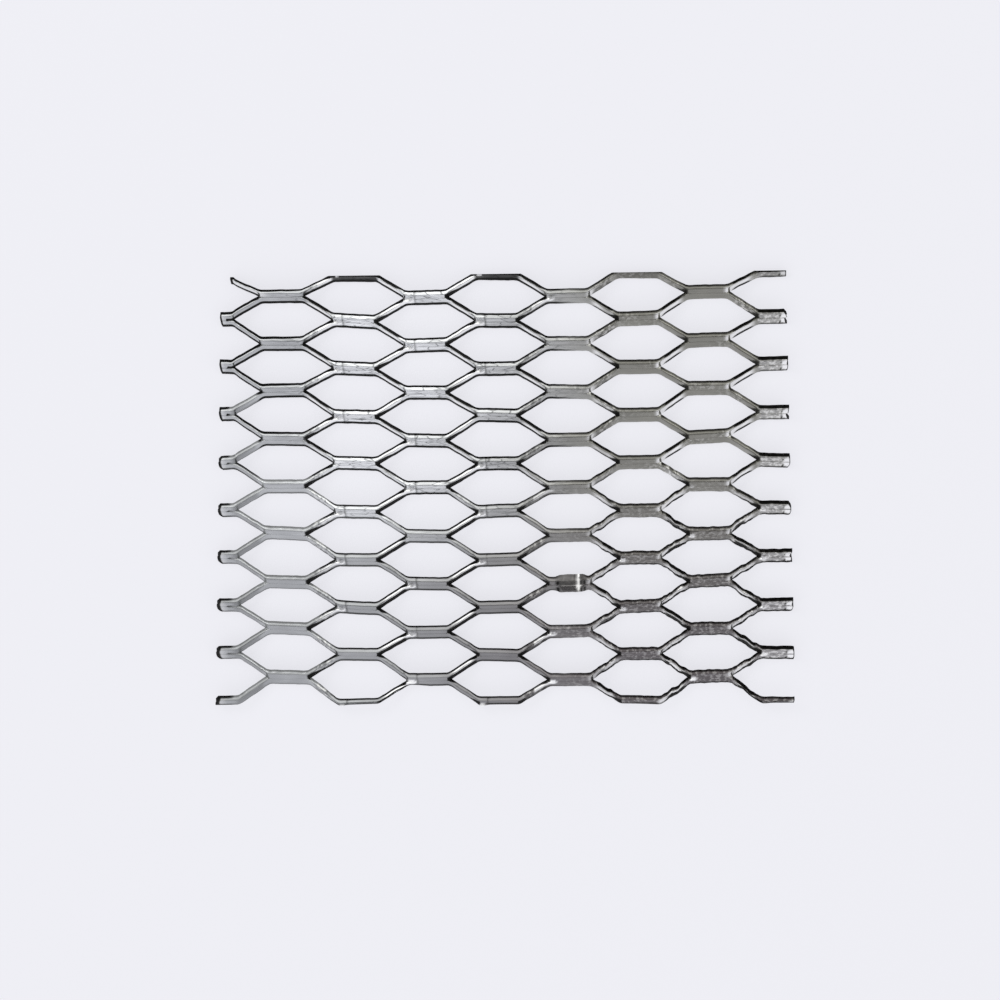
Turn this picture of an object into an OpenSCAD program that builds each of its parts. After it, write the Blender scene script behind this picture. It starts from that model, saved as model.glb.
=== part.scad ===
// Expanded metal sheet: raised diamond-hexagon mesh, slit and stretched from one flat sheet.
// Each strand row is a strip of sheet one feed wide, pressed into a trapezoid wave by the toothed
// blade.  The next row is pressed half a pitch over and one tooth depth lower, so two rows stay in
// one piece only along their bonds.  The pressed stair is tipped over until the mesh lies flat.
// X runs along the long way of the mesh, Y along the short way, Z up from the floor.

/* [Mesh] */
// Long way of the mesh, from bond to bond along a row
lwd = 30; // [26:0.5:45]
// Short way of the mesh, from bond to bond across the rows
swd = 10.2; // [8:0.1:14]
// Width of one strand, the feed of the sheet at each stroke
strand_w = 2.4; // [1.6:0.05:3.2]
// Thickness of the sheet before stretching
sheet_t = 0.9; // [0.5:0.05:1.5]
// Length of a bond between its two bends
bond_len = 8.6; // [6:0.1:11]
// Radius of the bends where a strand leaves its bond
bend_r = 2; // [0.5:0.1:3]

/* [Cut size] */
// Number of strand rows across the short way
rows = 18; // [4:2:26]
// Width of the cut sheet along its lower edge
cut_w = 123.3; // [70:0.1:180]
// How far the middle bond sits to the right of the lower edge's middle
pattern_x = -0.9; // [-15:0.1:15]
// How far the left cut runs inwards from the lower edge to the upper edge
left_skew = 2; // [0:0.1:4]
// How far the right cut runs inwards from the lower edge to the upper edge
right_skew = 1.3; // [0:0.1:4]
// How much the shears took off the strands along the upper edge
edge_trim = 0.65; // [0:0.05:1]
// How far the upper left corner is nipped in, which takes the stub off the last strand
corner_nip = 2.3; // [0:0.1:3]

/* [Hidden] */
// Straight segments that make up one bend
bend_steps = 3;
// Blade stroke below the sheet, which sets two rows a short half pitch apart
tooth_d = sqrt(pow(swd / 2, 2) - pow(strand_w, 2));
// Angle by which the pressed stair is tipped over, which is also the lean of every bond
lean = atan2(tooth_d, strand_w);
// Run and slope of a strand between two bonds, in the plane of the wave
leg_run = lwd / 2 - bond_len;
leg_slope = atan2(tooth_d, leg_run);
// Outside size of the mesh across the rows and through its height
mesh_y = rows * swd / 2 + sheet_t * sin(lean);
mesh_z = 2 * strand_w * sin(lean) + sheet_t * cos(lean);
// Outside size of the cut sheet across the rows
cut_h = mesh_y - edge_trim;
// Pitches to each side of the middle bond, enough to pass both cuts
side_pitches = ceil((cut_w / 2 + abs(pattern_x)) / lwd) + 1;
// Room by which the cutting outline passes the mesh above, below and on the uncut lower edge
cut_room = swd / 2;

// Points of one bend from flat to sloping, measured from the corner and turned by sign to each side
function bend(corner, side, drop) = [
    for (i = [0 : bend_steps])
        let (a = leg_slope * i / bend_steps, t = bend_r * tan(leg_slope / 2))
        [corner[0] + side * (bend_r * sin(a) - t), corner[1] - drop * bend_r * (1 - cos(a))]
];

function reversed(points) = [for (i = [len(points) - 1 : -1 : 0]) points[i]];

// Underside of one pitch of the wave, from a high bond down to the low bond and up again
function pitch_line(x) = concat(
    bend([x + bond_len / 2, 0], 1, 1),
    reversed(bend([x + bond_len / 2 + leg_run, -tooth_d], -1, -1)),
    bend([x + bond_len * 3 / 2 + leg_run, -tooth_d], 1, -1),
    reversed(bend([x + lwd - bond_len / 2, 0], -1, 1))
);

// Underside of a whole row, with a high bond at the middle or, when shifted, half a pitch beside it
function row_line(shift) = [
    for (i = [-side_pitches : side_pitches - 1], p = pitch_line((i + shift) * lwd)) p
];

// One strand row: the wave with the sheet's thickness, one feed wide
module strand_row(shift) {
    line = row_line(shift);
    rotate([90, 0, 0])
        linear_extrude(strand_w)
            polygon(concat(line, [for (p = reversed(line)) p + [0, sheet_t]]));
}

// All rows as they leave the press, each one feed on, one stroke down and half a pitch over
module pressed_stair() {
    for (k = [0 : rows - 1])
        translate([0, (k + 1) * strand_w, -k * tooth_d])
            strand_row(k % 2 == 0 ? 0 : 0.5);
}

// Distance of a side cut from the middle of the sheet at height y, for the skew of that cut
function cut_x(skew, y) = cut_w / 2 - skew * (y / cut_h + 1 / 2);

// Outline left by the cuts at both sides and along the upper edge, with its nipped corner, seen from above
module cut_outline() {
    top = cut_h / 2;
    low = -top - cut_room;
    nip_y = top - swd / 2;
    polygon([
        [-cut_x(left_skew, low), low],
        [cut_x(right_skew, low), low],
        [cut_x(right_skew, top), top],
        [corner_nip - cut_x(left_skew, top), top],
        [corner_nip - cut_x(left_skew, top), nip_y],
        [-cut_x(left_skew, nip_y), nip_y]
    ]);
}

module expanded_sheet() {
    color([0.72, 0.72, 0.71])
        intersection() {
            translate([pattern_x, sheet_t * sin(lean) - cut_h / 2, strand_w * sin(lean)])
                rotate([lean, 0, 0])
                    pressed_stair();
            translate([0, 0, -cut_room])
                linear_extrude(mesh_z + 2 * cut_room)
                    cut_outline();
        }
}

expanded_sheet();
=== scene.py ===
import functools
import math

import bpy
import numpy as np
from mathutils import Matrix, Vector


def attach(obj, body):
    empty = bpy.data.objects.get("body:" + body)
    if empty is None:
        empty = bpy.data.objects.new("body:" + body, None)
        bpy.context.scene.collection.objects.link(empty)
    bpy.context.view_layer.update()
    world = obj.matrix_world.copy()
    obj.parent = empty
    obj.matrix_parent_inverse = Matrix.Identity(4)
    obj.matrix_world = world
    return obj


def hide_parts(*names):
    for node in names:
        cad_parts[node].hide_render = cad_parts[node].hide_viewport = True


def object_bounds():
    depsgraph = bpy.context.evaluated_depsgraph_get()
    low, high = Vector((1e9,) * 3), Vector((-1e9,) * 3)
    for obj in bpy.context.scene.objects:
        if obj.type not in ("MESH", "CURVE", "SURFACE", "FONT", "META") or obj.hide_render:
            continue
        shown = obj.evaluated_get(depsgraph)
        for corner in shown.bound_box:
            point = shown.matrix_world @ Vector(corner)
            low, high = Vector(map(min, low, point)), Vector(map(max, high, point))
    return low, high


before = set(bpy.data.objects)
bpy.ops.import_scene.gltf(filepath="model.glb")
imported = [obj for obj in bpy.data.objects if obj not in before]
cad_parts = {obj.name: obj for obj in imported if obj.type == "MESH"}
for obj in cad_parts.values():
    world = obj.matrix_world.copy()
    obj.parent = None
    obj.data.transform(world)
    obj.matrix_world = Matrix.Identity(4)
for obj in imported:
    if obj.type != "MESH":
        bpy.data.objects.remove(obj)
cad_low, cad_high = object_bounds()

# The expanded sheet: one piece of bright cold-rolled steel, slit and stretched by a toothed press.
# Each strand row is a strip one feed wide, bent down and up again between bonds; two neighbouring
# rows are one metal along every bond and are sheared apart everywhere else.
MM = 0.001
LONG_WAY = 30 * MM
SHORT_WAY = 10.2 * MM
STRAND_WIDTH = 2.4 * MM
SHEET_THICKNESS = 0.9 * MM
BOND_LENGTH = 8.6 * MM
BEND_RADIUS = 2 * MM
ROWS = 18
PATTERN_X = -0.9 * MM
LEFT_SKEW = 2 * MM
RIGHT_SKEW = 1.3 * MM
EDGE_TRIM = 0.65 * MM
CORNER_NIP = 2.3 * MM

HALF_PITCH = LONG_WAY / 2
LEG_RUN = HALF_PITCH - BOND_LENGTH
TOOTH_DEPTH = math.sqrt((SHORT_WAY / 2) ** 2 - STRAND_WIDTH ** 2)
LEAN = math.atan2(TOOTH_DEPTH, STRAND_WIDTH)
LEG_SLOPE = math.atan2(TOOTH_DEPTH, LEG_RUN)
BEND_REACH = BEND_RADIUS * math.tan(LEG_SLOPE / 2)
MESH_Y = ROWS * SHORT_WAY / 2 + SHEET_THICKNESS * math.sin(LEAN)

# Stations along X where a strip's section is set: a half pitch is spaced as half a bond, its bend, the
# leg, the next bend and the next half bond, and is repeated from cut to cut
BOND_STEPS, BEND_STEPS, LEG_STEPS = 9, 7, 15
BEND_SPAN = 1.4
END_SPARE = 0.15 * MM
turns = [0, BOND_LENGTH / 2 - BEND_REACH, BOND_LENGTH / 2 + BEND_SPAN * BEND_REACH]
turns += [HALF_PITCH - turn for turn in reversed(turns)]
steps = [BOND_STEPS, BEND_STEPS, LEG_STEPS, BEND_STEPS, BOND_STEPS]
spaced = np.concatenate([np.linspace(a, b, count, endpoint=False)
                         for a, b, count in zip(turns[:-1], turns[1:], steps)])
pitches = math.ceil((cad_high.x - cad_low.x) / LONG_WAY) + 1
x = (PATTERN_X + np.arange(-pitches, pitches)[:, None] * HALF_PITCH + spaced).ravel()
left_cut, right_cut = cad_low.x + LEFT_SKEW / 2, cad_high.x - RIGHT_SKEW / 2
inside = (x > left_cut + END_SPARE) & (x < right_cut - END_SPARE)
x = np.concatenate([[left_cut], x[inside], [right_cut]])

# Every row's wave: which bond a station is nearest to, how far past its middle it is, and whether the
# row hangs low there; the level counts the lines of bonds from the lower edge of the sheet up
SEED = 18


def wave_drop(x):
    """How far a row has dropped at x from the bond column at PATTERN_X: flat across the bond, an arc
    of BEND_RADIUS, a straight leg, and the same arc turned over into the next bond half a pitch on."""
    along = np.abs((x - PATTERN_X + HALF_PITCH) % LONG_WAY - HALF_PITCH)
    near = np.minimum(along, HALF_PITCH - along)
    run = np.clip(near - (BOND_LENGTH / 2 - BEND_REACH), 0, None)
    arc_run = BEND_RADIUS * math.sin(LEG_SLOPE)
    on_arc = np.minimum(run, arc_run)
    drop = BEND_RADIUS - np.sqrt(BEND_RADIUS ** 2 - on_arc ** 2)
    drop = drop + (run - on_arc) * math.tan(LEG_SLOPE)
    return np.where(along < HALF_PITCH / 2, drop, TOOTH_DEPTH - drop)


rng = np.random.default_rng(SEED)
row = np.arange(ROWS)[:, None]
odd_row = row % 2 == 1
top_row = row == ROWS - 1
number = np.round((x - PATTERN_X) / HALF_PITCH).astype(int)
past = x - PATTERN_X - number * HALF_PITCH
near = np.abs(past)
low_bond = odd_row ^ (number % 2 == 1)
level = row + low_bond
drop = wave_drop(x)
height = np.where(odd_row, TOOTH_DEPTH - drop, drop)
share = height / TOOTH_DEPTH
row_y = (row + share - ROWS / 2) * SHORT_WAY / 2

# How the sheet differs from place to place: crisp and bright left of the middle, the brightness a painted
# reflection, dull to the right, darker towards the lower edge, and worn ragged in the lower right corner.
# Here and below, a pair named for X or Y says where a zone starts, and where it is full.
RIGHT_X = (0, 20 * MM)
HIGH_Y = (-26 * MM, 30 * MM)
LOW_Y = (15 * MM, -8 * MM)
CRISP_LEFT_X = (-50 * MM, -40 * MM)
CRISP_RIGHT_X = (22 * MM, 4 * MM)
CRISP_SHIFT = 7 * MM
RAGGED_X = (4 * MM, 32 * MM)
RAGGED_Y = (12 * MM, -16 * MM)
BRIGHT_X = (-44 * MM, -34 * MM)
BRIGHT_Y = (-18 * MM, 2 * MM)
BRIGHT_END = 14 * MM
BRIGHT_END_MORE = 9 * MM
BRIGHT_END_Y = (5 * MM, 25 * MM)
BRIGHT_FADE = 46 * MM
DEEP_Y = (14 * MM, -38 * MM)
DULLED_X = (-44 * MM, 34 * MM)
DULLED_SHIFT = 5 * MM


def smooth_step(start, full, value):
    """Rises smoothly from 0 where value is start to 1 where it is full, which may be the lesser."""
    t = np.clip((value - start) / (full - start), 0, 1)
    return t * t * (3 - 2 * t)


right = np.broadcast_to(smooth_step(*RIGHT_X, x), row_y.shape)
high = smooth_step(*HIGH_Y, row_y)
low = smooth_step(*LOW_Y, row_y)
crisp = smooth_step(*CRISP_LEFT_X, x - CRISP_SHIFT * low) * smooth_step(*CRISP_RIGHT_X, x)
ragged = smooth_step(*RAGGED_X, x) * smooth_step(*RAGGED_Y, row_y)
bright_end = BRIGHT_END + BRIGHT_END_MORE * smooth_step(*BRIGHT_END_Y, row_y)
# Left of the middle the faces are painted near white, a painted reflection of more light there
painted_bright = smooth_step(*BRIGHT_X, x) * np.clip((bright_end - x) / BRIGHT_FADE, 0, 1)
painted_bright = painted_bright * smooth_step(*BRIGHT_Y, row_y)
pressed = crisp * smooth_step(*BRIGHT_Y, row_y)
deep = smooth_step(*DEEP_Y, row_y)
dulled = smooth_step(*DULLED_X, x + DULLED_SHIFT * deep)

# Two rows are one metal a little past the corners of a bond, where the slit ends; a row's upper side is
# joined at its low bonds and its lower side at its high bonds; the slits run on into the left stubs
TIP_REACH = 0.3 * MM
TIP_SPREAD = 0.35 * MM
STUB_SLIT = 2.0 * MM
column = number - number.min()
bonds = (ROWS + 1, column.max() + 1)
tip = TIP_REACH + TIP_SPREAD * rng.uniform(-1, 1, bonds + (2,))
tip[:, 0] -= STUB_SLIT
reach = BOND_LENGTH / 2 + tip[level, column, (past > 0).astype(int)]
in_bond = near < reach
upper_joined = in_bond & low_bond
lower_joined = in_bond & ~low_bond
upper_joined[-1] = False
lower_joined[0] = False
open_run = np.clip(near - reach, 0, None)

# Unevenness: bonds out of line together, strands bent on their own, edges torn in waves and in chips that
# are averaged with their neighbours, and dents in ragged faces; wavelengths are in millimetres
LEVEL_WANDER, LEVEL_WAVES = 0.22 * MM, (71, 43, 26)
STRAND_WANDER, STRAND_WAVES = 0.05 * MM, (9, 5.3, 3.1)
RAGGED_WANDER = 0.18 * MM
TEAR, TEAR_WAVES = 0.05 * MM, (6.7, 4.1, 2.3)
RAGGED_TEAR = 0.23 * MM
RAGGED_BOND_TEAR = 0.4
TEAR_LIMIT = 0.3 * MM
WAVE_SHARE, CHIP_SHARE = 0.5, 0.9
RAGGED_DENT = 0.09 * MM
ROLL_RUN = 1.8 * MM


def ripple(rng, x, rows, wavelengths):
    """Smooth random unevenness between about -1 and 1 for each row: a sum of sines of the given
    wavelengths in millimetres, each with its own random phase in each row."""
    gain = 1.4
    phase = rng.uniform(0, 2 * math.pi, (rows, 1, len(wavelengths)))
    waves = np.sin(2 * math.pi * x[None, :, None] / (np.array(wavelengths) * MM) + phase)
    return waves.mean(axis=2) * gain


level_wave = ripple(rng, x, ROWS + 1, LEVEL_WAVES)
height = height + LEVEL_WANDER * ((1 - share) * level_wave[:-1] + share * level_wave[1:])
freed = smooth_step(0, ROLL_RUN, open_run)
rising_right = (past > 0) ^ low_bond
rising, falling = freed * rising_right, freed * ~rising_right
wander = STRAND_WANDER + RAGGED_WANDER * ragged
height = height + wander * ripple(rng, x, ROWS, STRAND_WAVES) * freed
chips = rng.normal(0, 1, (2, ROWS, len(x)))
chips[:, :, 1:-1] = (chips[:, :, :-2] + 2 * chips[:, :, 1:-1] + chips[:, :, 2:]) / 4
torn_by = TEAR + RAGGED_TEAR * ragged * (RAGGED_BOND_TEAR + (1 - RAGGED_BOND_TEAR) * freed)
tears = [torn_by * (WAVE_SHARE * ripple(rng, x, ROWS, TEAR_WAVES) + CHIP_SHARE * chip) for chip in chips]
upper_tear, lower_tear = np.clip(tears, -TEAR_LIMIT, TEAR_LIMIT)
dent = RAGGED_DENT * ragged[..., None] * rng.uniform(-1, 1, (ROWS, len(x), 3))

# Strands that are plain grey, at the left below the upper edge and right of the middle; worn, flecked
# metal, more on strands than on bonds; and the zone where faces get black outlines of painted shade
PLAIN_X = (-44 * MM, -50 * MM)
PLAIN_Y = (28 * MM, 14 * MM)
PLAIN_RISE_LEFT_X = (1 * MM, 4 * MM)
PLAIN_RISE_RIGHT_X = (27 * MM, 24 * MM)
MOTTLE_WAVES = (37, 23, 13)
SCUFFED_X, SCUFFED_HALF = -38 * MM, 4 * MM
STUB_RUN = (7 * MM, 5.5 * MM)
WORN_BOND, WORN_RAGGED, WORN_MOTTLE = 0.2, 0.35, 0.4
WORN_SCUFFED, WORN_PLAIN, WORN_STUB = 0.5, 0.35, 0.6
LOW_OUTLINE_LOSS, PLAIN_OUTLINE_LOSS = 0.6, 0.5
RAGGED_BOND_OUTLINE = 0.5


def hump(value, middle, half, power=2):
    """1 in the middle, falling off to both sides by half's distance, more steeply for a higher power."""
    return np.exp(-((value - middle) / half) ** power)


def greatest(*values):
    """The greatest of several values at each place."""
    return functools.reduce(np.maximum, values)


plain = rising * smooth_step(*PLAIN_X, x) * smooth_step(*PLAIN_Y, row_y)
plain_rise = rising * smooth_step(*PLAIN_RISE_LEFT_X, x) * smooth_step(*PLAIN_RISE_RIGHT_X, x) * (1 - ragged)
stub = smooth_step(*STUB_RUN, right_cut - x) * (row > 0)
mottle = np.clip(ripple(rng, x, ROWS, MOTTLE_WAVES), 0, 1) * right
worn = greatest(ragged * (WORN_BOND + WORN_RAGGED * freed), mottle * (WORN_BOND + WORN_MOTTLE * freed),
                WORN_SCUFFED * freed * hump(x, SCUFFED_X, SCUFFED_HALF), WORN_PLAIN * plain_rise,
                WORN_STUB * stub)
outlined = greatest(crisp * (1 - LOW_OUTLINE_LOSS * low * falling) * (1 - PLAIN_OUTLINE_LOSS * plain_rise),
                    high * (1 - right) * (1 - plain),
                    ragged * (RAGGED_BOND_OUTLINE + (1 - RAGGED_BOND_OUTLINE) * freed))

# Pinched lumps stand up on the slit at the left ends of some of the crisp and the ragged bonds, and on a
# crisp bond a painted shadow line runs down beside the lump
PINCH, RAGGED_PINCH = 0.45 * MM, 0.6
PINCH_CHANCE = (0.3, 0.45)
PINCH_PAST = -3.6 * MM
PINCH_HALF = (0.75 * MM, 0.9 * MM)
PINCH_LINE_PAST, PINCH_LINE_HALF = -2.3 * MM, 0.25 * MM
PINCH_LINE_DARK = 0.48
chance = rng.uniform(0, 1, bonds)[level, column]
pinched = smooth_step(*PINCH_CHANCE, chance) * np.maximum(crisp, RAGGED_PINCH * ragged)
pinch_line = PINCH_LINE_DARK * pinched * crisp * hump(past, PINCH_LINE_PAST, PINCH_LINE_HALF)
pinched = pinched * hump(past, PINCH_PAST, PINCH_HALF[0])

# The lowest strand is drawn thin between these two places at the left, and at its right end
THIN_FROM = -39 * MM
THIN_TO = -15 * MM
THIN_END = 48 * MM
THIN_FADE = 5 * MM
THIN_LOSS = 0.6 * MM
thin = smooth_step(THIN_FROM, THIN_FROM + THIN_FADE, x) * smooth_step(THIN_TO, THIN_TO - THIN_FADE, x)
thin = np.maximum(thin, smooth_step(THIN_END, THIN_END + THIN_FADE, x))
thin = np.where(row == 0, thin * THIN_LOSS, 0)

# Points round a strip's section, from the face over its upper side to the back and its lower side; the
# same three places on both sides of a slit are one point where the rows are joined
FACE_HIGH, ROLL_START, ROLL_END, UPPER_MID, UPPER_BACK, BACK_MID = 0, 1, 4, 5, 6, 7
BACK_START, BACK_END, LOWER_MID, LOWER_FACE, BAND, FACE_LOW = 8, 10, 11, 12, 13, 14
SECTION_POINTS = 15
ROLL_ARC, BACK_ARC = slice(ROLL_START, ROLL_END + 1), slice(BACK_START, BACK_END + 1)
UPPER_WELD = (ROLL_END, UPPER_MID, UPPER_BACK)
LOWER_WELD = (LOWER_FACE, LOWER_MID, BACK_END)
FACE = [LOWER_FACE, BAND, FACE_LOW, FACE_HIGH]
ROLL = list(range(ROLL_START, ROLL_END))


def on_points(points):
    """1 at the given points of a section and 0 at its others."""
    return np.isin(np.arange(SECTION_POINTS), points).astype(float)


on_face = on_points(FACE)
on_band = on_points([FACE_HIGH] + ROLL)
on_front = on_points(FACE + ROLL + [ROLL_END])
seen_above = on_points(FACE + ROLL + list(UPPER_WELD))

# The blade draws the face's upper edge and the back's lower edge over in a round, wider where the metal
# is crisp or ragged; the other two edges break off sharp, and along a bond only a shallow crease shows
ROLL_OVER = 0.26 * MM
CRISP_ROLL_OVER = 0.58 * MM
RAGGED_ROLL_SHARE = 0.7
SHARP_BREAK = 0.04 * MM
CREASE_RUN = 0.2 * MM
CREASE = 0.012 * MM
# How far a sheared side stands back from the slit, how far the painted dark outline along the edge reaches
# up the face, and where across the strand the other points of face and back lie
SHEAR_LOSS = 0.04 * MM
OUTLINE_BAND = 0.36 * MM
CRISP_OUTLINE_BAND = 0.8 * MM
RISING_BAND_SHARE = 0.6
FACE_LOW_SHARE, FACE_HIGH_SHARE, BACK_MID_SHARE = 0.5, 0.64, 0.55
across = np.zeros((ROWS, len(x), SECTION_POINTS))
through = np.zeros_like(across)

# Upper side: round from the face, straight torn side, sharp back edge
opened = np.where(upper_joined, 0, np.where(low_bond, freed, 1))
full_roll = ROLL_OVER + (CRISP_ROLL_OVER - ROLL_OVER) * np.maximum(crisp, RAGGED_ROLL_SHARE * ragged * freed)
roll_run = CREASE_RUN + (full_roll - CREASE_RUN) * opened
roll_drop = CREASE + (full_roll - CREASE) * opened
inset = np.where(upper_joined, 0, SHEAR_LOSS + thin - upper_tear * opened)
turn = np.linspace(0, math.pi / 2, ROLL_END - ROLL_START + 1)
across[..., ROLL_ARC] = STRAND_WIDTH - inset[..., None] - roll_run[..., None] * (1 - np.sin(turn))
through[..., ROLL_ARC] = SHEET_THICKNESS - roll_drop[..., None] * (1 - np.cos(turn))
across[..., UPPER_MID] = across[..., UPPER_BACK] = STRAND_WIDTH - inset
through[..., UPPER_MID] = (SHEET_THICKNESS - roll_drop) / 2
through[..., UPPER_BACK] = np.where(upper_joined, CREASE, 0)

# Lower side: sharp face edge, straight torn side, round to the back
opened = np.where(lower_joined, 0, np.where(low_bond, 1, freed))
roll_run = CREASE_RUN + (ROLL_OVER - CREASE_RUN) * opened
roll_drop = CREASE + (ROLL_OVER - CREASE) * opened
inset = np.where(lower_joined, 0, SHEAR_LOSS + thin - lower_tear * opened)
turn = np.linspace(math.pi / 2, 0, BACK_END - BACK_START + 1)
across[..., BACK_ARC] = inset[..., None] + roll_run[..., None] * (1 - np.cos(turn))
through[..., BACK_ARC] = roll_drop[..., None] * (1 - np.sin(turn))
across[..., LOWER_MID] = across[..., LOWER_FACE] = inset
through[..., LOWER_MID] = np.where(lower_joined, (SHEET_THICKNESS - CREASE) / 2, SHEET_THICKNESS / 2)
through[..., LOWER_FACE] = SHEET_THICKNESS - np.where(lower_joined, CREASE, SHARP_BREAK * opened)
wide_band = np.maximum(outlined, RISING_BAND_SHARE * right * rising)
across[..., BAND] = inset + OUTLINE_BAND + (CRISP_OUTLINE_BAND - OUTLINE_BAND) * wide_band
across[..., FACE_LOW] = STRAND_WIDTH * FACE_LOW_SHARE
across[..., FACE_HIGH] = STRAND_WIDTH * FACE_HIGH_SHARE
across[..., BACK_MID] = STRAND_WIDTH * BACK_MID_SHARE
for spot, point in enumerate((BAND, FACE_LOW, FACE_HIGH)):
    through[..., point] = SHEET_THICKNESS + dent[..., spot]
off_slit = np.where(low_bond[..., None], STRAND_WIDTH - across, across)
lump = pinched[..., None] * hump(off_slit, 0, PINCH_HALF[1])
through += PINCH * lump * on_front

# The stair as it leaves the press, with the common sides welded: both rows take the mean of their places
feed = row[..., None] * STRAND_WIDTH + across
lift = through - row[..., None] * TOOTH_DEPTH - height[..., None]
index = np.arange(across.size).reshape(across.shape)
weld = upper_joined[:-1]
for above, below in zip(LOWER_WELD, UPPER_WELD):
    mean = (lift[:-1, :, below] + lift[1:, :, above]) / 2
    lift[:-1, :, below] = np.where(weld, mean, lift[:-1, :, below])
    lift[1:, :, above] = np.where(weld, mean, lift[1:, :, above])
    index[1:, :, above] = np.where(weld, index[:-1, :, below], index[1:, :, above])

# The stair tipped over by LEAN about X and set on the floor, with the strand at the upper left corner
# hanging a little, and trimmed along its upper edge
CORNER_SAG = 0.65 * MM
CORNER_SAG_X = (-50 * MM, -56 * MM)
place_y = feed * math.cos(LEAN) - lift * math.sin(LEAN) + SHEET_THICKNESS * math.sin(LEAN) - MESH_Y / 2
place_z = feed * math.sin(LEAN) + lift * math.cos(LEAN) + STRAND_WIDTH * math.sin(LEAN)
corner_sag = CORNER_SAG * smooth_step(*CORNER_SAG_X, x) * top_row
place_y = np.minimum(place_y - corner_sag[..., None], MESH_Y / 2 - EDGE_TRIM)
place_x = np.broadcast_to(x[:, None], place_y.shape).copy()

# The stretched lattice is a little out of square: the left side has drifted up and, above, outwards, and
# the right side up and inwards; the cut edges and the upper and lower edges stay where they are
LEFT_RISE, RIGHT_RISE = 0.8 * MM, 0.4 * MM
LEFT_DRIFT, RIGHT_DRIFT = 1.1 * MM, 0.5 * MM
LEFT_DRIFT_X, RIGHT_DRIFT_X = (-20 * MM, -52 * MM), (20 * MM, 52 * MM)
EDGE_FADE, LEFT_CUT_FADE, RIGHT_CUT_FADE = 0.86, 0.93, 0.85
half_width, half_height = cad_high.x, MESH_Y / 2
to_left = smooth_step(*LEFT_DRIFT_X, x)[:, None]
to_right = smooth_step(*RIGHT_DRIFT_X, x)[:, None]
off_edges = smooth_step(1, EDGE_FADE, np.abs(place_y) / half_height)
cut_fade = np.where(place_x < 0, LEFT_CUT_FADE, RIGHT_CUT_FADE)
off_cuts = smooth_step(1, cut_fade, np.abs(place_x) / half_width)
upper = smooth_step(-half_height, half_height, place_y)
drift_x = LEFT_DRIFT * to_left * upper + RIGHT_DRIFT * to_right
drift_y = LEFT_RISE * to_left + RIGHT_RISE * to_right
place_x = place_x - drift_x * off_cuts
place_y = place_y + drift_y * off_edges

# One bond was squeezed flatter in a vice: lower, and wider across the rows, with one flat stripe down it
SQUEEZED_LEVEL = 5
SQUEEZED_X = PATTERN_X + HALF_PITCH + 0.5 * MM
SQUEEZED_HALF, SQUEEZED_POWER = 3.1 * MM, 8
SQUEEZED_FLAT = 0.32
SQUEEZED_WIDE = 0.3
STRIPE_X = SQUEEZED_X + 1.45 * MM
STRIPE_HALF, STRIPE_POWER = 0.5 * MM, 4
STRIPE_FLAT = 0.3
squeezed = hump(x, SQUEEZED_X, SQUEEZED_HALF, SQUEEZED_POWER) * (level == SQUEEZED_LEVEL)
bond_middle = (SQUEEZED_LEVEL, np.searchsorted(x, SQUEEZED_X), LOWER_MID)
place_y += (place_y - place_y[bond_middle]) * SQUEEZED_WIDE * squeezed[..., None]
stripe = hump(x, STRIPE_X, STRIPE_HALF, STRIPE_POWER) * squeezed
flatter = SQUEEZED_FLAT * squeezed + STRIPE_FLAT * stripe
place_z -= (place_z - place_z[bond_middle]) * flatter[..., None]

# Both side cuts lean inwards up the sheet: what is beyond the last bend is drawn to the cut
last_bend = 2 * LONG_WAY - BOND_LENGTH / 2
for sign, cut, skew in ((-1, left_cut, LEFT_SKEW), (1, right_cut, RIGHT_SKEW)):
    start = PATTERN_X + sign * last_bend
    beyond = np.clip(sign * (place_x - start), 0, None) / (sign * (cut - start))
    place_x -= sign * beyond * skew * place_y / MESH_Y

# The shears rounded the cut ends at the left, those above only a little, and rounded those at the right
# or bit into their middle
END_ROUND, UPPER_ROUND_SHARE = 0.8 * MM, 0.25
ROUND_Y = (18 * MM, 8 * MM)
END_BITE = 0.75 * MM
END_RUN = 2.2 * MM
nipped = np.searchsorted(x, cad_low.x + LEFT_SKEW + CORNER_NIP)
first = np.where(top_row[:, 0], nipped, 0)
from_slit = np.clip(np.where(odd_row[..., None], 1 - across / STRAND_WIDTH, across / STRAND_WIDTH), 0, 1)
left_end = np.clip(1 - (x - x[first][:, None]) / END_RUN, 0, 1)
right_end = np.broadcast_to(np.clip(1 - (x[-1] - x) / END_RUN, 0, 1), row_y.shape)
round_share = UPPER_ROUND_SHARE + (1 - UPPER_ROUND_SHARE) * smooth_step(*ROUND_Y, row_y)
rounded = END_ROUND * round_share * left_end ** 2 * ~top_row
place_x += rounded[..., None] * from_slit ** 3
bite = END_BITE * rng.uniform(-1, 1, (ROWS, 1, 1)) * (right_end ** 2)[..., None]
place_x -= np.where(bite > 0, bite * (1 - from_slit ** 2), -bite * from_slit ** 2)

# Skin of every row, without the sides that are inside a bond, and the two cut ends
i, j = np.meshgrid(np.arange(len(x) - 1), np.arange(SECTION_POINTS), indexing="ij")
after = (j + 1) % SECTION_POINTS
quads = np.stack([index[:, i, j], index[:, i + 1, j], index[:, i + 1, after], index[:, i, after]], axis=-1)
keep = np.ones(quads.shape[:3], bool)
both = upper_joined[:, :-1] & upper_joined[:, 1:]
keep[:, :, UPPER_WELD[0]:UPPER_WELD[2]] &= ~both[..., None]
both = lower_joined[:, :-1] & lower_joined[:, 1:]
keep[:, :, LOWER_WELD[2]:LOWER_WELD[0]] &= ~both[..., None]
keep &= (np.arange(len(x) - 1) >= first[:, None])[..., None]
skin = quads[keep]
ends = np.concatenate([index[np.arange(ROWS), first], index[:, -1, ::-1]])

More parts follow.
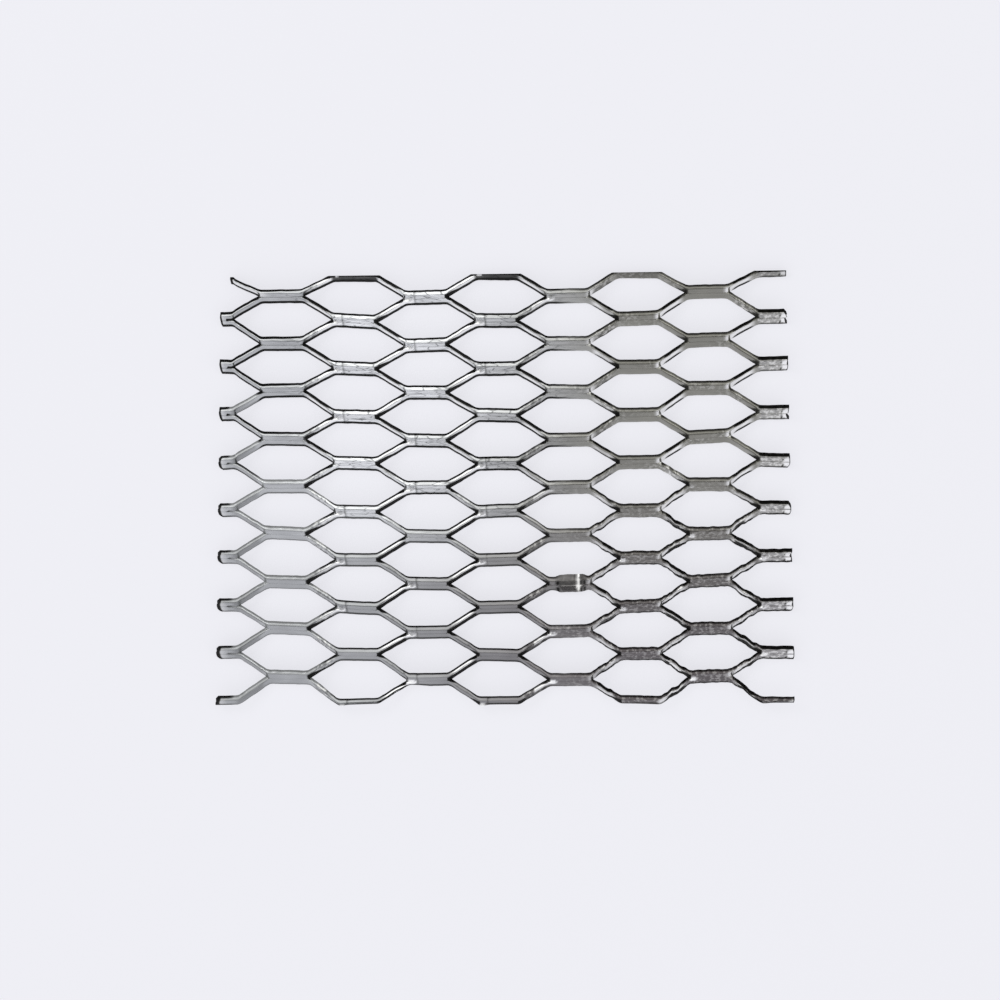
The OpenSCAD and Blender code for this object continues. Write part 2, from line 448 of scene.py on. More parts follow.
# Flat map of the strips: along the row, and round the section, one strip beside the other
girth = 2 * (STRAND_WIDTH + SHEET_THICKNESS)
step = np.hypot(np.diff(across, axis=-1, append=across[..., :1]),
                np.diff(through, axis=-1, append=through[..., :1]))
round_way = np.concatenate([np.zeros(row_y.shape + (1,)), np.cumsum(step, axis=-1)], axis=-1)
round_way = round_way + row[..., None] * girth
strip = np.stack([np.stack([np.broadcast_to(x[i + a], keep.shape), round_way[:, i + a, j + b]], axis=-1)
                  for a, b in ((0, 0), (1, 0), (1, 1), (0, 1))], axis=-2)[keep]
strip = np.concatenate([strip.reshape(-1, 2), np.zeros((ends.size, 2))])

# Painted shade in black: dark outlines on the torn upper side and along the sharp lower edge of the face,
# standing in for their shade and dark reflections, and a painted shadow where a slit ends.  Here and below,
# the numbers in a table are how strong a mark is at each kind of place, or how much it loses.
UPPER_DARK = {"left": 0.32, "right": 0.5, "falling_loss": 0.2, "low_bond_loss": 0.4, "rising": 0.9,
              "plain_loss": 0.4, "painted_falling": 0.95, "stub": 0.9}
LOWER_DARK = {"left_more": 0.33, "right": 0.12, "low_bond_loss": 0.55, "rising": 0.95, "plain_loss": 0.55,
              "painted_falling": 0.9, "stub": 0.7}
LEFT_STUB_DARK, LEFT_STUB_RUN = 0.6, (4.5 * MM, 2.5 * MM)
PAINTED_FALLING_X, PAINTED_FALLING_HALF, PAINTED_FALLING_POWER = 21.6 * MM, 5.5 * MM, 4
SLIT_END, SLIT_END_DARK, SLIT_END_LOSS = 0.5 * MM, 0.8, 0.8
CREASE_DARK, CREASE_X = 0.26, (-20 * MM, -28 * MM)
BAND_DARK = 0.6
up_leg = (np.where(low_bond, HALF_PITCH - near, near) - BOND_LENGTH / 2) / LEG_RUN
left_stub = LEFT_STUB_DARK * smooth_step(*LEFT_STUB_RUN, x - left_cut)
in_low_bond = low * (1 - freed) * (1 - ragged)
# Falling strands right of the middle, painted with black outlines and white highlights
painted_falling_zone = hump(x, PAINTED_FALLING_X, PAINTED_FALLING_HALF, PAINTED_FALLING_POWER) * (1 - ragged)
painted_falling = falling * painted_falling_zone
upper_dark = greatest(outlined * (1 - UPPER_DARK["low_bond_loss"] * in_low_bond),
                      UPPER_DARK["left"] * (1 - right),
                      (UPPER_DARK["right"] - UPPER_DARK["falling_loss"] * falling) * right,
                      UPPER_DARK["rising"] * right * rising * (1 - UPPER_DARK["plain_loss"] * plain_rise),
                      UPPER_DARK["painted_falling"] * painted_falling, UPPER_DARK["stub"] * stub, left_stub)
lower_dark = greatest(outlined * (1 - LOWER_DARK["low_bond_loss"] * in_low_bond),
                      LOWER_DARK["right"] + LOWER_DARK["left_more"] * (1 - right),
                      LOWER_DARK["rising"] * right * rising * (1 - LOWER_DARK["plain_loss"] * plain_rise),
                      LOWER_DARK["painted_falling"] * painted_falling, LOWER_DARK["stub"] * stub, left_stub)
# A painted shadow at the slit's end, and painted shade in the crease along a bond
slit_end = SLIT_END_DARK * np.exp(-np.clip(reach - near, 0, None) / SLIT_END)
slit_end = slit_end * (1 - SLIT_END_LOSS * right * (past > 0))
crease_dark = CREASE_DARK * high * smooth_step(*CREASE_X, x)
dark = np.zeros(across.shape)
dark[..., UPPER_MID] = dark[..., UPPER_BACK] = np.where(upper_joined, 0, upper_dark)
dark[..., LOWER_FACE] = np.where(lower_joined, slit_end, lower_dark)
dark[..., BAND] = np.where(lower_joined, 0, (BAND_DARK + (1 - BAND_DARK) * outlined) * lower_dark)

# The drawn-over edge, painted dark for the dark reflection in it: black on strands that fall to the right
# where the metal is crisp, on those that rise to the right where it is dull, on the stubs, and with gaps
# where it is ragged; elsewhere painted only a little darker
EDGE_SHADE = 0.27
GAP_WAVES, GAP_LEVEL = (13, 7, 4.7), (-0.6, -0.1)
BLACKENED_CHANCE, BLACKENED_FALLING = (0.45, 0.65), 0.15
HEAVY_LOSS_UP = 0.5
HEAVY_RAGGED_RISE = 0.5
HEAVY_ON_ROLL = (0, 0.25, 0.8)
ROLL_END_DARK, ROLL_END_CRISP = 0.5, 0.3
gaps = smooth_step(*GAP_LEVEL, ripple(rng, x, ROWS, GAP_WAVES))
leg = np.floor((x - PATTERN_X) / HALF_PITCH).astype(int)
leg_chance = rng.uniform(0, 1, (ROWS, leg.max() - leg.min() + 1))[row, leg - leg.min()]
blackened = ragged * freed * gaps * smooth_step(*BLACKENED_CHANCE, leg_chance + BLACKENED_FALLING * falling)
dull_rise = right * (1 - ragged) * (rising - plain_rise)
heavy = greatest(crisp * falling * (1 - low), dull_rise * (1 - HEAVY_LOSS_UP * np.clip(up_leg, 0, 1)),
                 ragged * (falling + HEAVY_RAGGED_RISE * rising) * gaps, stub)
edge_shade = EDGE_SHADE * (1 - crisp) * (1 - high * (1 - right)) * (1 - right * rising)
edge = np.stack([np.maximum(edge_shade, part * heavy) for part in HEAVY_ON_ROLL], axis=-1)
dark[..., ROLL] = np.where(upper_joined[..., None], 0, edge)
edge = np.maximum((ROLL_END_DARK + ROLL_END_CRISP * crisp) * upper_dark, heavy)
dark[..., ROLL_END] = np.where(upper_joined, np.maximum(slit_end, crease_dark), edge)

# Dark wedges of painted reflection, where a face mirrors its own shadow: the face of a strand that rises to
# the right is black from below, all along in the lower half of the sheet and near its lower end in the upper
# half; one that falls to the right is black at its lower end.  The lumps stay bare, and blackened strands
# are painted dark all over.
WEDGE_START = 0.5 * MM
WEDGE_FADE = 0.25 * STRAND_WIDTH
WEDGE_X = (-44 * MM, -40 * MM)
WEDGE_END = (1, 0.8)
LONG_WEDGE_X = (-36 * MM, -28 * MM)
RISING_TAPER, LONG_TAPER_LESS = 1.1, 0.9
FALLING_TAPER, RAGGED_TAPER_LESS = 2.0, 0.7
SCUFFED_RISE_X, SCUFFED_RISE_Y = (-32 * MM, -35 * MM), (4 * MM, 20 * MM)
PLAIN_WEDGE_LOSS, SCUFFED_WEDGE_LOSS = 0.6, 0.75
POINTED_X, POINTED_Y = (-24 * MM, -10 * MM), (22 * MM, 8 * MM)
POINTED = {"right": 0.5, "painted_falling_more": 0.4, "crisp": 0.7, "ragged": 0.8}
BARE_LUMP, BARE_LUMP_LOSS = (0.25, 0.6), 0.85
BLACKENED_HIGH, BLACKENED_LOW = 0.75, 0.55
long_wedge = low * smooth_step(*LONG_WEDGE_X, x)
taper = np.where(rising_right, RISING_TAPER - LONG_TAPER_LESS * long_wedge,
                 FALLING_TAPER - RAGGED_TAPER_LESS * ragged)
wedge_top = STRAND_WIDTH * (1 - np.clip(up_leg, 0, 1) * taper)
scuffed_rise = smooth_step(*SCUFFED_RISE_X, x) * smooth_step(*SCUFFED_RISE_Y, row_y)
rising_wedge = smooth_step(*WEDGE_X, x) * (1 - right)
rising_wedge = rising_wedge * (1 - PLAIN_WEDGE_LOSS * plain_rise) * (1 - SCUFFED_WEDGE_LOSS * scuffed_rise)
crisp_point = crisp * (1 - right) * smooth_step(*POINTED_X, x) * smooth_step(*POINTED_Y, row_y)
dull_point = (POINTED["right"] + POINTED["painted_falling_more"] * painted_falling_zone) * right
falling_wedge = (1 - ragged) * (dull_point + POINTED["crisp"] * crisp_point) + POINTED["ragged"] * ragged
wedge_dark = np.where(rising_right, rising_wedge, falling_wedge)
wedge_dark = wedge_dark * smooth_step(-WEDGE_START / LEG_RUN, 0, up_leg) * smooth_step(*WEDGE_END, up_leg)
wedge = np.clip((wedge_top[..., None] - across) / WEDGE_FADE, 0, 1) * wedge_dark[..., None] * on_face
dark = np.maximum(dark, wedge) * (1 - BARE_LUMP_LOSS * smooth_step(*BARE_LUMP, lump))
dark[..., FACE_HIGH] = np.maximum(dark[..., FACE_HIGH], BLACKENED_HIGH * blackened)
dark[..., FACE_LOW] = np.maximum(dark[..., FACE_LOW], BLACKENED_LOW * blackened)

# Grey all over: the plain strands, those at the lower left, and the trimmed bonds along the upper edge
GREY_X, GREY_Y = (-30 * MM, -40 * MM), (20 * MM, 0)
GREY = {"lower_left": 0.24, "plain": 0.26, "plain_rise": 0.2, "low_falling": 0.17, "trimmed": 0.5,
        "trimmed_right_loss": 0.25}
TRIMMED_NEAR = (5.4 * MM, 4.2 * MM)
TRIMMED_X = (-50 * MM, -44 * MM)
lower_left = (1 - crisp) * freed * smooth_step(*GREY_X, x) * smooth_step(*GREY_Y, row_y)
trimmed = (level == ROWS) * smooth_step(*TRIMMED_NEAR, near) * smooth_step(*TRIMMED_X, x)
grey = greatest(GREY["lower_left"] * lower_left, GREY["plain"] * plain, GREY["plain_rise"] * plain_rise,
                GREY["low_falling"] * crisp * low * falling,
                trimmed * (GREY["trimmed"] - GREY["trimmed_right_loss"] * right))
dark = np.maximum(dark, grey[..., None] * np.maximum(on_band, on_face))

# Dark too: the squeezed block, in two tones as its halves face the light, with black lines at its left
# edge and beside its stripe; a line a little in from the right cut ends; and the left cut ends
BLOCK_GREY, LOWER_BLOCK_GREY, BLOCK_LINE = 0.28, 0.08, 0.6
END_BULGE = 0.4
END_LINE, END_LINE_AT, END_LINE_HALF = 0.5, 0.22, 0.08
LEFT_LINE, LEFT_LINE_AT = 0.6, (0.58, 0.72)
CUT_DARK = 0.8
block = np.where(low_bond, LOWER_BLOCK_GREY, BLOCK_GREY) * (1 - stripe)
dark += (block[..., None] - dark) * squeezed[..., None] * seen_above
# A mark m is half way, which is its outline, where 4 m (1 - m) is 1
block_edge = np.where(x < SQUEEZED_X + SQUEEZED_HALF, 4 * squeezed * (1 - squeezed), 0)
beside_stripe = 4 * stripe * (1 - stripe) * squeezed
dark = np.maximum(dark, BLOCK_LINE * np.maximum(block_edge, beside_stripe)[..., None] * on_face)
end_tip = right_end[..., None] - END_BULGE * from_slit ** 2
end_line = END_LINE * hump(end_tip, END_LINE_AT, END_LINE_HALF) * (right_end > 0)[..., None]
dark = np.maximum(dark, end_line * on_face)
left_line = LEFT_LINE * smooth_step(*LEFT_LINE_AT, left_end)
# Dark lines at the left cut ends, and the painted shadow line beside the lumps
dark = np.maximum(dark, np.maximum(left_line, pinch_line)[..., None] * on_front)
dark[np.arange(ROWS), first] = dark[:, -1] = CUT_DARK

# Painted highlights and white reflections: ragged strands, strands that rise to the right where they are
# dull and far to the right, a painted glint where others begin, falling strands right of the middle and
# crisp falling strands, the stubs, the cut ends, the corner strand, the lumps, the edges of crisp strands
# and the left ends of some low bonds, and the squeezed bond's stripe
PATCH_WAVES, PATCHY = (11, 7, 4.3), 0.07
INTO_LEG = (3.4 * MM, 4.4 * MM)
WHITE_FILL_X = (24 * MM, 29 * MM)
GLINT_PAST, GLINT_HALF = 4.9 * MM, 0.7 * MM
CORNER_X = (-48 * MM, -51 * MM)
FILL = {"ragged_loss": 0.2, "painted_falling": 0.6, "painted_falling_patch": 0.4, "glint": 0.9, "crisp_falling": 0.9,
        "stub": 0.3, "left_end": 0.6, "corner": 0.7}
END_HIGHLIGHT, LUMP_HIGHLIGHT = (0.25, 0.4), (0.1, 0.35)
EDGE_RISING, EDGE_FALLING = 0.85, 0.75
EDGE_LEFT_X, EDGE_RIGHT_X = (-41 * MM, -30 * MM), (4 * MM, 1 * MM)
BOND_END_CHANCE, BOND_END_PAST = (0.2, 0.4), (-2.9 * MM, -3.6 * MM)
STRIPE_PALE, LOWER_BLOCK_PALE = 0.5, 0.1
patches = ripple(rng, x, ROWS, PATCH_WAVES)
patchy = 1 - PATCHY + PATCHY * patches
into_leg = np.maximum(rising, ~low_bond * smooth_step(*INTO_LEG, past))
# Far to the right and where it is ragged, rising strands are painted white as a reflection, with no glint
white_fill_zone = np.maximum(smooth_step(*WHITE_FILL_X, x), ragged)
glint = ~low_bond * hump(past, GLINT_PAST, GLINT_HALF) * right * (1 - white_fill_zone)
corner = top_row * smooth_step(*CORNER_X, x)
fill = greatest(right * white_fill_zone * into_leg * patchy * (1 - FILL["ragged_loss"] * ragged),
                ragged * falling * patchy, painted_falling * (FILL["painted_falling"] + FILL["painted_falling_patch"] * patches),
                FILL["glint"] * glint, FILL["crisp_falling"] * crisp * falling * (1 - low),
                FILL["stub"] * stub, FILL["left_end"] * left_end, FILL["corner"] * corner)
fill = np.maximum(fill[..., None], smooth_step(*END_HIGHLIGHT, end_tip))
painted_highlight = np.maximum(fill * on_points(FACE + ROLL[:2]), smooth_step(*LUMP_HIGHLIGHT, lump) * on_front)
band = EDGE_RISING * rising * smooth_step(*EDGE_LEFT_X, x) * smooth_step(*EDGE_RIGHT_X, x)
band = band + EDGE_FALLING * falling * (1 - low)
bond_end = low_bond * smooth_step(*BOND_END_CHANCE, chance) * smooth_step(*BOND_END_PAST, past)
painted_highlight = np.maximum(painted_highlight, (crisp * np.maximum(band, bond_end))[..., None] * on_band)
block_pale = STRIPE_PALE * stripe + LOWER_BLOCK_PALE * low_bond * squeezed
painted_highlight = np.maximum(painted_highlight, block_pale[..., None] * seen_above)
# The marks for the material, painted shade and painted highlights among them
marks = {"torn_side": np.broadcast_to(on_points(UPPER_WELD + LOWER_WELD), across.shape),
         "dark": dark, "painted_highlight": painted_highlight}
whole = {"worn": worn, "painted_bright": painted_bright, "pressed": pressed, "dulled": dulled, "deep": deep}
for name, value in whole.items():
    marks[name] = np.broadcast_to(value[..., None], across.shape)

# The finished skin lies exactly in the box of the solid
SHARP_ANGLE = math.radians(55)
coords = np.stack([place_x, place_y, place_z], axis=-1).reshape(-1, 3)
used, corners = np.unique(np.concatenate([skin.ravel(), ends.ravel()]), return_inverse=True)
coords = coords[used]
skin_low, skin_high = coords.min(axis=0), coords.max(axis=0)
coords = np.array(cad_low) + (coords - skin_low) / (skin_high - skin_low) * np.array(cad_high - cad_low)
sizes = np.concatenate([np.full(len(skin), skin.shape[1]), np.full(len(ends), ends.shape[1])])
mesh = bpy.data.meshes.new("expanded_sheet_skin")
mesh.vertices.add(len(used))
mesh.vertices.foreach_set("co", coords.astype(np.float32).ravel())
mesh.loops.add(len(corners))
mesh.loops.foreach_set("vertex_index", corners.astype(np.int32))
mesh.polygons.add(len(sizes))
mesh.polygons.foreach_set("loop_start", (np.cumsum(sizes) - sizes).astype(np.int32))
mesh.update(calc_edges=True)
for name, value in marks.items():
    layer = mesh.attributes.new(name, "FLOAT", "POINT")
    layer.data.foreach_set("value", value.ravel()[used].astype(np.float32))
mesh.uv_layers.new(name="strip").data.foreach_set("uv", strip.astype(np.float32).ravel())
mesh.shade_smooth()
mesh.set_sharp_from_angle(angle=SHARP_ANGLE)
sheet = bpy.data.objects.new("expanded_sheet_skin", mesh)
bpy.context.scene.collection.objects.link(sheet)

# Bright cold-rolled steel, sheared: a clean metal face with fine rolling grain along the strands, black
# painted shade and dark reflections along the torn edges and on the faces, painted highlights, and a duller,
# browner tone towards the right, flecked where it is worn


def linear(hex_colour):
    """Linear RGBA of an sRGB hex colour."""
    srgb = [int(hex_colour[k:k + 2], 16) / 255 for k in (1, 3, 5)]
    return [c / 12.92 if c <= 0.04045 else ((c + 0.055) / 1.055) ** 2.4 for c in srgb] + [1.0]


def add(tree, kind, sockets=None, **settings):
    """Adds a node: its settings, and its sockets by name or number, each given a value or linked to
    another node's output."""
    node = tree.nodes.new(kind)
    for key, value in settings.items():
        setattr(node, key, value)
    for key, value in (sockets or {}).items():
        if isinstance(value, bpy.types.NodeSocket):
            tree.links.new(value, node.inputs[key])
        else:
            node.inputs[key].default_value = value
    return node


# The near white here is a painted reflection, for the zone left of the middle
SATIN, DEEP_SATIN, PAINTED_BRIGHT = linear("#bec0c1"), linear("#a9abac"), linear("#fbfdfe")
DULL, DEEP_DULL = linear("#898880"), linear("#645f60")
# The black below is painted shade and dark reflection, and other dark marks; the near white is painted
# highlight
HIGHLIGHT_WHITE, SHADE_AND_MARK_BLACK, PRESSED = linear("#fdfdfc"), linear("#141312"), linear("#4b4c4d")
FLECK_GLINT, FLECK_SHADE = linear("#f4f3ef"), linear("#1c1b1a")
# Sizes of the patterns, along the strand and across it where there are two
CLOUD_SIZE = 5 * MM
GRAIN_SIZE = (5 * MM, 0.35 * MM)
PRESSED_SIZE = (3.5 * MM, 0.8 * MM)
FLECK_SIZE = (0.8 * MM, 1.3 * MM)
PIT_SIZE = 0.6 * MM
RELIEF, RELIEF_STRENGTH, GRAIN_RELIEF = 0.08 * MM, 0.6, 0.25
# Noise lies mostly between these values, and shades the tone by these factors
NOISE_LOW, NOISE_HIGH = 0.3, 0.7
NOISE_DETAIL, FLECK_DETAIL = 3.0, 2.0
CLOUD_DARK, CLOUD_LIGHT = 0.9, 1.08
GRAIN_DARK, GRAIN_LIGHT = 0.9, 1.1
PRESSED_DARK, PRESSED_LIGHT = 0.72, 1.08
PRESSED_LINE_WIDTH, PRESSED_LINE_STRENGTH = 0.07, 0.8
FLECK_SPAN, FLECK_SHADE_SPAN = (0.53, 0.58), (0.46, 0.41)
# The dark mark starts to show and is full at these values, and covers this share of the metal
DARK_SHOWS, DARK_FULL, DARK_COVER = 0.08, 0.6, 0.98
GLOSSY, SATIN_GLOSS = 0.18, 0.27
TORN_ROUGHER, WORN_ROUGHER, DARK_MARK_ROUGHER = 0.1, 0.08, 0.5
# Numbers of a colour mix's sockets: factor and two colours in, colour out
FACTOR, FIRST, SECOND, MIXED = 0, 6, 7, 2
steel = bpy.data.materials.new("bright_rolled_steel")
steel.use_nodes = True
tree = steel.node_tree
tree.nodes.clear()
place = add(tree, "ShaderNodeTexCoord").outputs["Object"]
strip_way = add(tree, "ShaderNodeUVMap", uv_map="strip").outputs["UV"]
mark = {name: add(tree, "ShaderNodeAttribute", attribute_name=name).outputs["Fac"] for name in marks}

# The ground tone: satin at the left, painted near white left of the middle as a painted reflection, dull to
# the right and deeper below
dull = add(tree, "ShaderNodeMix", {FACTOR: mark["deep"], FIRST: DULL, SECOND: DEEP_DULL}, data_type="RGBA")
satin = add(tree, "ShaderNodeMix", {FACTOR: mark["deep"], FIRST: SATIN, SECOND: DEEP_SATIN},
            data_type="RGBA")
tone = add(tree, "ShaderNodeMix", {FACTOR: mark["dulled"], FIRST: satin.outputs[MIXED],
                                   SECOND: dull.outputs[MIXED]}, data_type="RGBA")
tone = add(tree, "ShaderNodeMix", {FACTOR: mark["painted_bright"], FIRST: tone.outputs[MIXED], SECOND: PAINTED_BRIGHT},
           data_type="RGBA")

# Clouding a few millimetres across, and rolling grain drawn out along the strands; real grain is finer
# than a pixel, so it is drawn coarse enough to show
cloud = add(tree, "ShaderNodeTexNoise", {"Vector": place, "Scale": 1 / CLOUD_SIZE, "Detail": NOISE_DETAIL})
cloud = cloud.outputs["Fac"]
shade = add(tree, "ShaderNodeMapRange", {"Value": cloud, "From Min": NOISE_LOW, "From Max": NOISE_HIGH,
                                         "To Min": CLOUD_DARK, "To Max": CLOUD_LIGHT})
tone = add(tree, "ShaderNodeMix", {FACTOR: 1.0, FIRST: tone.outputs[MIXED],
                                   SECOND: shade.outputs["Result"]}, data_type="RGBA", blend_type="MULTIPLY")
drawn = add(tree, "ShaderNodeMapping", {"Vector": strip_way,
                                        "Scale": (1 / GRAIN_SIZE[0], 1 / GRAIN_SIZE[1], 1)})
grain = add(tree, "ShaderNodeTexNoise", {"Vector": drawn.outputs["Vector"], "Scale": 1.0,
                                         "Detail": NOISE_DETAIL})
grain = grain.outputs["Fac"]
shade = add(tree, "ShaderNodeMapRange", {"Value": grain, "From Min": NOISE_LOW, "From Max": NOISE_HIGH,
                                         "To Min": GRAIN_DARK, "To Max": GRAIN_LIGHT})
tone = add(tree, "ShaderNodeMix", {FACTOR: 1.0, FIRST: tone.outputs[MIXED],
                                   SECOND: shade.outputs["Result"]}, data_type="RGBA", blend_type="MULTIPLY")

# Pressed lines on the bright bonds
laid = add(tree, "ShaderNodeMapping", {"Vector": strip_way,
                                       "Scale": (1 / PRESSED_SIZE[0], 1 / PRESSED_SIZE[1], 1)})
cells = add(tree, "ShaderNodeTexVoronoi", {"Vector": laid.outputs["Vector"], "Scale": 1.0},
            feature="DISTANCE_TO_EDGE")
tiles = add(tree, "ShaderNodeTexVoronoi", {"Vector": laid.outputs["Vector"], "Scale": 1.0}, feature="F1")
shade = add(tree, "ShaderNodeMapRange", {"Value": tiles.outputs["Color"], "To Min": PRESSED_DARK,
                                         "To Max": PRESSED_LIGHT})
tone = add(tree, "ShaderNodeMix", {FACTOR: mark["pressed"], FIRST: tone.outputs[MIXED],
                                   SECOND: shade.outputs["Result"]}, data_type="RGBA", blend_type="MULTIPLY")
lines = add(tree, "ShaderNodeMapRange", {"Value": cells.outputs["Distance"], "From Min": 0.0,
                                         "From Max": PRESSED_LINE_WIDTH, "To Min": PRESSED_LINE_STRENGTH,
                                         "To Max": 0.0})
lines = add(tree, "ShaderNodeMath", {0: lines.outputs["Result"], 1: mark["pressed"]}, operation="MULTIPLY")
tone = add(tree, "ShaderNodeMix", {FACTOR: lines.outputs[0], FIRST: tone.outputs[MIXED], SECOND: PRESSED},
           data_type="RGBA")

# Where it is worn, flecks of painted glint and their painted shadows, then the painted highlights, then the
# black of painted shade and other dark marks
fleck_way = add(tree, "ShaderNodeMapping", {"Vector": strip_way,
                                       "Scale": (1 / FLECK_SIZE[0], 1 / FLECK_SIZE[1], 1)})
flecks = add(tree, "ShaderNodeTexNoise", {"Vector": fleck_way.outputs["Vector"], "Scale": 1.0,
                                          "Detail": FLECK_DETAIL})
# Painted glints and painted shadows in flecks where it is worn
for (start, full), colour in ((FLECK_SPAN, FLECK_GLINT), (FLECK_SHADE_SPAN, FLECK_SHADE)):
    fleck_share = add(tree, "ShaderNodeMapRange", {"Value": flecks.outputs["Fac"], "From Min": start,
                                             "From Max": full})
    fleck_share = add(tree, "ShaderNodeMath", {0: fleck_share.outputs["Result"], 1: mark["worn"]}, operation="MULTIPLY")
    tone = add(tree, "ShaderNodeMix", {FACTOR: fleck_share.outputs[0], FIRST: tone.outputs[MIXED], SECOND: colour},
               data_type="RGBA")
# Painted highlights in near white
tone = add(tree, "ShaderNodeMix", {FACTOR: mark["painted_highlight"], FIRST: tone.outputs[MIXED], SECOND: HIGHLIGHT_WHITE},
           data_type="RGBA")
# Black over the painted shade and dark reflections, and over the other dark marks
shade_and_marks = add(tree, "ShaderNodeMapRange", {"Value": mark["dark"], "From Min": DARK_SHOWS,
                                         "From Max": DARK_FULL, "To Max": DARK_COVER},
            interpolation_type="SMOOTHSTEP")
tone = add(tree, "ShaderNodeMix", {FACTOR: shade_and_marks.outputs["Result"], FIRST: tone.outputs[MIXED],
                                   SECOND: SHADE_AND_MARK_BLACK}, data_type="RGBA")

# Satin gloss, duller on torn sides, where it is worn and under the black of painted shade and dark marks,
# with the grain and, where it is worn, pits standing in relief
rough = add(tree, "ShaderNodeMapRange", {"Value": cloud, "From Min": NOISE_LOW, "From Max": NOISE_HIGH,
                                         "To Min": GLOSSY, "To Max": SATIN_GLOSS}).outputs["Result"]
for part, rougher in ((mark["torn_side"], TORN_ROUGHER), (mark["worn"], WORN_ROUGHER),
                      (shade_and_marks.outputs["Result"], DARK_MARK_ROUGHER)):
    rough = add(tree, "ShaderNodeMath", {0: part, 1: rougher, 2: rough}, operation="MULTIPLY_ADD").outputs[0]
pits = add(tree, "ShaderNodeTexNoise", {"Vector": place, "Scale": 1 / PIT_SIZE, "Detail": FLECK_DETAIL})
pitted = add(tree, "ShaderNodeMath", {0: pits.outputs["Fac"], 1: mark["worn"]}, operation="MULTIPLY")
relief = add(tree, "ShaderNodeMath", {0: grain, 1: GRAIN_RELIEF, 2: pitted.outputs[0]},
             operation="MULTIPLY_ADD")
bump = add(tree, "ShaderNodeBump", {"Height": relief.outputs[0], "Strength": RELIEF_STRENGTH,
                                    "Distance": RELIEF})
skin_shader = add(tree, "ShaderNodeBsdfPrincipled", {"Base Color": tone.outputs[MIXED], "Metallic": 1.0,
                                                     "Roughness": rough, "Normal": bump.outputs["Normal"]})
add(tree, "ShaderNodeOutputMaterial", {"Surface": skin_shader.outputs["BSDF"]})
mesh.materials.append(steel)
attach(sheet, "root")
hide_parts("expanded_sheet")

# The floor: a plain pale board that the sheet lies on, matt so that it mirrors nothing.  To the eye and
# in the metal it is mostly an even pale tone, and the rest of it takes the light and the shadow.
FLOOR_HALF = 3.0
FLOOR_COLOUR = linear("#ebebf1")
EVEN_SHARE = 0.82
floor_mesh = bpy.data.meshes.new("floor")
floor_mesh.from_pydata([(-FLOOR_HALF, -FLOOR_HALF, 0), (FLOOR_HALF, -FLOOR_HALF, 0),
                        (FLOOR_HALF, FLOOR_HALF, 0), (-FLOOR_HALF, FLOOR_HALF, 0)], [], [(0, 1, 2, 3)])
floor = bpy.data.objects.new("floor", floor_mesh)
bpy.context.scene.collection.objects.link(floor)
board = bpy.data.materials.new("matt_pale_board")
board.use_nodes = True
tree = board.node_tree
tree.nodes.clear()
ray = add(tree, "ShaderNodeLightPath").outputs
seen = add(tree, "ShaderNodeMath", {0: ray["Is Camera Ray"], 1: ray["Is Glossy Ray"]}, operation="MAXIMUM")
seen = add(tree, "ShaderNodeMath", {0: seen.outputs[0], 1: ray["Is Transmission Ray"]}, operation="MAXIMUM")
even = add(tree, "ShaderNodeMath", {0: seen.outputs[0], 1: EVEN_SHARE}, operation="MULTIPLY")
lit = add(tree, "ShaderNodeBsdfDiffuse", {"Color": FLOOR_COLOUR})
glow = add(tree, "ShaderNodeEmission", {"Color": FLOOR_COLOUR, "Strength": 1.0})
mixed = add(tree, "ShaderNodeMixShader", {0: even.outputs[0], 1: lit.outputs["BSDF"],
                                          2: glow.outputs["Emission"]})
add(tree, "ShaderNodeOutputMaterial", {"Surface": mixed.outputs["Shader"]})
floor_mesh.materials.append(board)

# Studio light: a wide soft ceiling that fades to dark walls, and comes down lower in front of the sheet,
# with one soft panel at the upper left.  Spans are of the upward or forward part of the view's direction.
CEILING_STRENGTH = 1.45
WALL_STRENGTH = 0.06
CEILING_SPAN, FRONT_SPAN = (0.45, 0.85), (0.1, 0.8)
FRONT_WAY = (0, -0.42, 0.9)
PANEL_OFFSET = Vector((-0.5, 0.45, 0.75))
PANEL_SIZE = 0.35
PANEL_POWER = 1.5
world = bpy.data.worlds.new("studio")
bpy.context.scene.world = world
world.use_nodes = True
tree = world.node_tree
tree.nodes.clear()
toward = add(tree, "ShaderNodeTexCoord").outputs["Generated"]
upward = add(tree, "ShaderNodeSeparateXYZ", {"Vector": toward}).outputs["Z"]
forward = add(tree, "ShaderNodeVectorMath", {0: toward, 1: FRONT_WAY}, operation="DOT_PRODUCT")
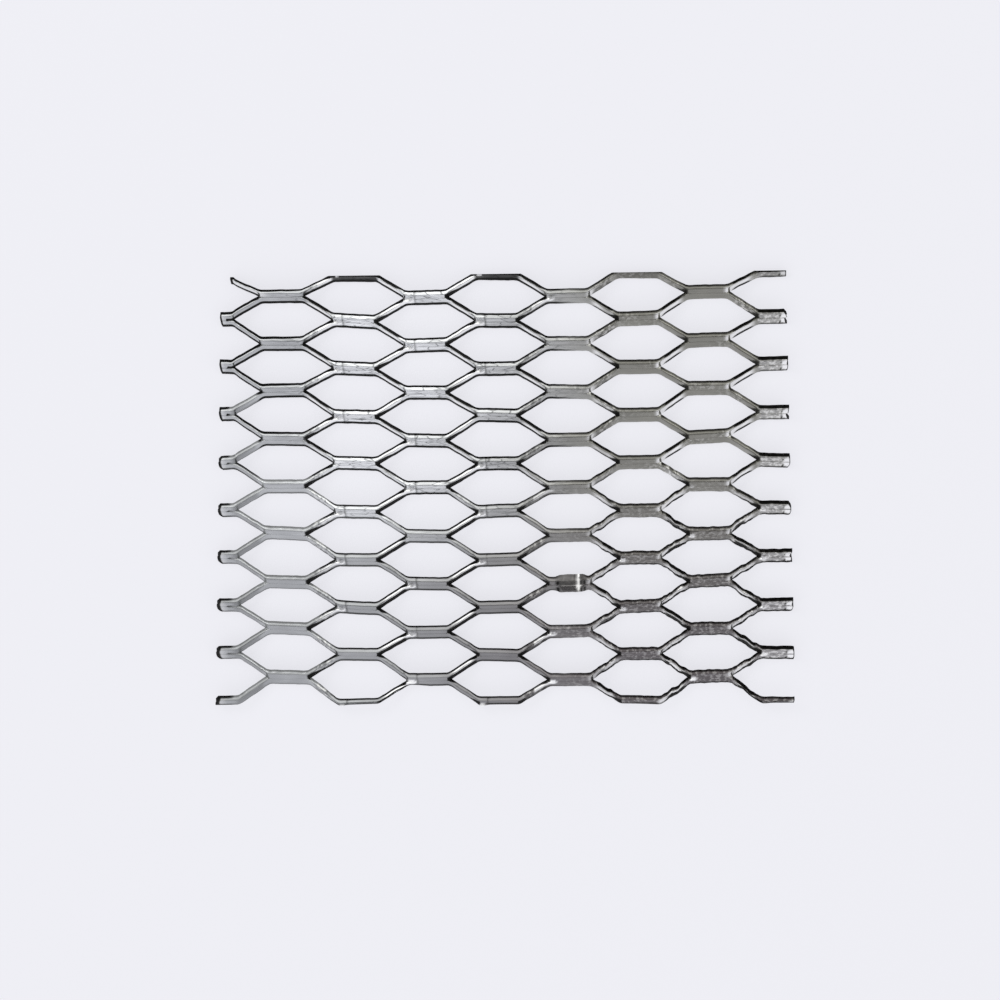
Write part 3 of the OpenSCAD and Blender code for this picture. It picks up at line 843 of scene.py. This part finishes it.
ceiling, front = [add(tree, "ShaderNodeMapRange", {"Value": way, "From Min": span[0], "From Max": span[1],
                                                   "To Min": WALL_STRENGTH, "To Max": CEILING_STRENGTH},
                      interpolation_type="SMOOTHSTEP").outputs["Result"]
                  for way, span in ((upward, CEILING_SPAN), (forward.outputs["Value"], FRONT_SPAN))]
light = add(tree, "ShaderNodeMath", {0: ceiling, 1: front}, operation="MAXIMUM")
sky = add(tree, "ShaderNodeBackground", {"Color": (1, 1, 1, 1), "Strength": light.outputs[0]})
add(tree, "ShaderNodeOutputWorld", {"Surface": sky.outputs["Background"]})
middle = (cad_low + cad_high) / 2
panel_light = bpy.data.lights.new("soft_panel", "AREA")
panel_light.size = PANEL_SIZE
panel_light.energy = PANEL_POWER
panel = bpy.data.objects.new("soft_panel", panel_light)
bpy.context.scene.collection.objects.link(panel)
panel.location = middle + PANEL_OFFSET
panel.rotation_euler = (-PANEL_OFFSET).to_track_quat("-Z", "Y").to_euler()

# The camera: nearly straight above the sheet, a few degrees to its right and rolled by a hair, far enough
# away that the sheet's height hardly shows, and framed as the photograph is
PIXELS_PER_LONG_WAY = 141.2
IMAGE_PIXELS = 1000
SHEET_MIDDLE_PIXEL = (502.0, 488.4)
CAMERA_DISTANCE = 0.7
CAMERA_TILT = math.radians(4.0)
CAMERA_ROLL = math.radians(0.42)
pixel = LONG_WAY / PIXELS_PER_LONG_WAY
off_middle = Vector((IMAGE_PIXELS / 2 - SHEET_MIDDLE_PIXEL[0], SHEET_MIDDLE_PIXEL[1] - IMAGE_PIXELS / 2, 0))
aim = middle + off_middle * pixel
camera_data = bpy.data.cameras.new("camera")
camera_data.lens = camera_data.sensor_width * CAMERA_DISTANCE / (IMAGE_PIXELS * pixel)
camera = bpy.data.objects.new("camera", camera_data)
bpy.context.scene.collection.objects.link(camera)
camera.location = aim + Vector((math.sin(CAMERA_TILT), 0, math.cos(CAMERA_TILT))) * CAMERA_DISTANCE
camera.rotation_euler = (0, CAMERA_TILT, -CAMERA_ROLL)
bpy.context.scene.camera = camera
bpy.context.scene.view_settings.view_transform = "Standard"
